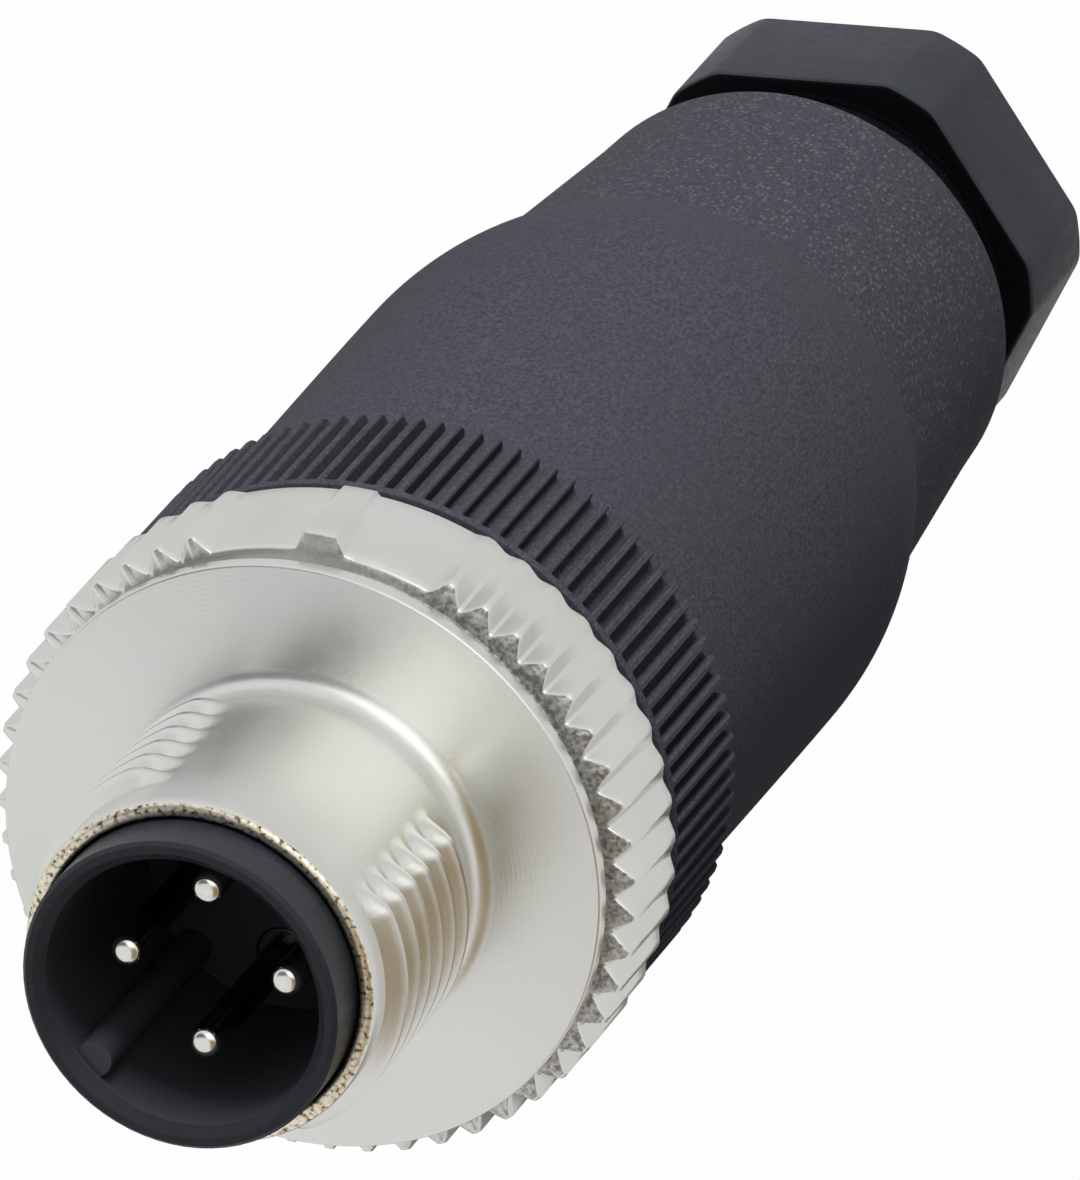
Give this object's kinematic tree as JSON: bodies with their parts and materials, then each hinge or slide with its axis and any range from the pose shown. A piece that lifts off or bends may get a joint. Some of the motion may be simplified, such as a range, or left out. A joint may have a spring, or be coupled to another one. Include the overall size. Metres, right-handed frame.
{
  "type": "m12 circular cable connector",
  "caption": "Straight male circular connector: pinned shroud in a threaded, knurled coupling ring, ribbed plastic grip and hexagonal cable gland nut.",
  "frame": {"origin": "centre of the gland nut's flat end face, on which the connector stands", "axes": "+Z along the connector's axis from the gland nut to the pins; pin 1 stands on +X and the coupling ring's marker tooth on +Y"},
  "size_m": [0.0202, 0.0202, 0.0605],
  "materials": {
    "grip_plastic": "fine spark-eroded texture, dark slate grey",
    "nut_plastic": "smooth satin moulded plastic, dark blue grey",
    "carrier_plastic": "smooth moulded plastic, near black",
    "cage_plastic": "plain moulded plastic",
    "nickel_plate": "satin nickel plate on brass",
    "contact_metal": "bright plated contact metal",
    "screw_steel": "zinc-plated steel",
    "spring_steel": "plain spring steel",
    "seal_rubber": "soft black rubber"
  },
  "bodies": {
    "housing": {"grip_body": "grip_plastic", "contact_carrier": "carrier_plastic", "retaining_ring": "spring_steel", "union_seal": "seal_rubber", "contact_pin_1": "contact_metal", "contact_pin_2": "contact_metal", "contact_pin_3": "contact_metal", "contact_pin_4": "contact_metal", "terminal_screw_1": "screw_steel", "terminal_screw_2": "screw_steel", "terminal_screw_3": "screw_steel", "terminal_screw_4": "screw_steel"},
    "coupling": {"coupling_ring": "nickel_plate"},
    "clamp": {"clamping_cage": "cage_plastic", "cable_seal": "seal_rubber"},
    "nut": {"gland_nut": "nut_plastic"}
  },
  "joints": [
    {"name": "coupling_turn", "type": "hinge", "parent": "housing", "child": "coupling", "pos_m": [0, 0, 0.0478], "axis": [0, 0, 1], "continuous": true},
    {"name": "clamp_slide", "type": "slide", "parent": "housing", "child": "clamp", "axis": [0, 0, 1], "range_m": [-0.0015, 0.002]},
    {"name": "nut_turn", "type": "hinge", "parent": "clamp", "child": "nut", "pos_m": [0, 0, 0.004], "axis": [0, 0, 1], "range_deg": [-540, 720]}
  ],
  "couplings": [
    {"joint": "nut_turn", "follows": "clamp_slide", "rad_per_m": 6283.2}
  ]
}
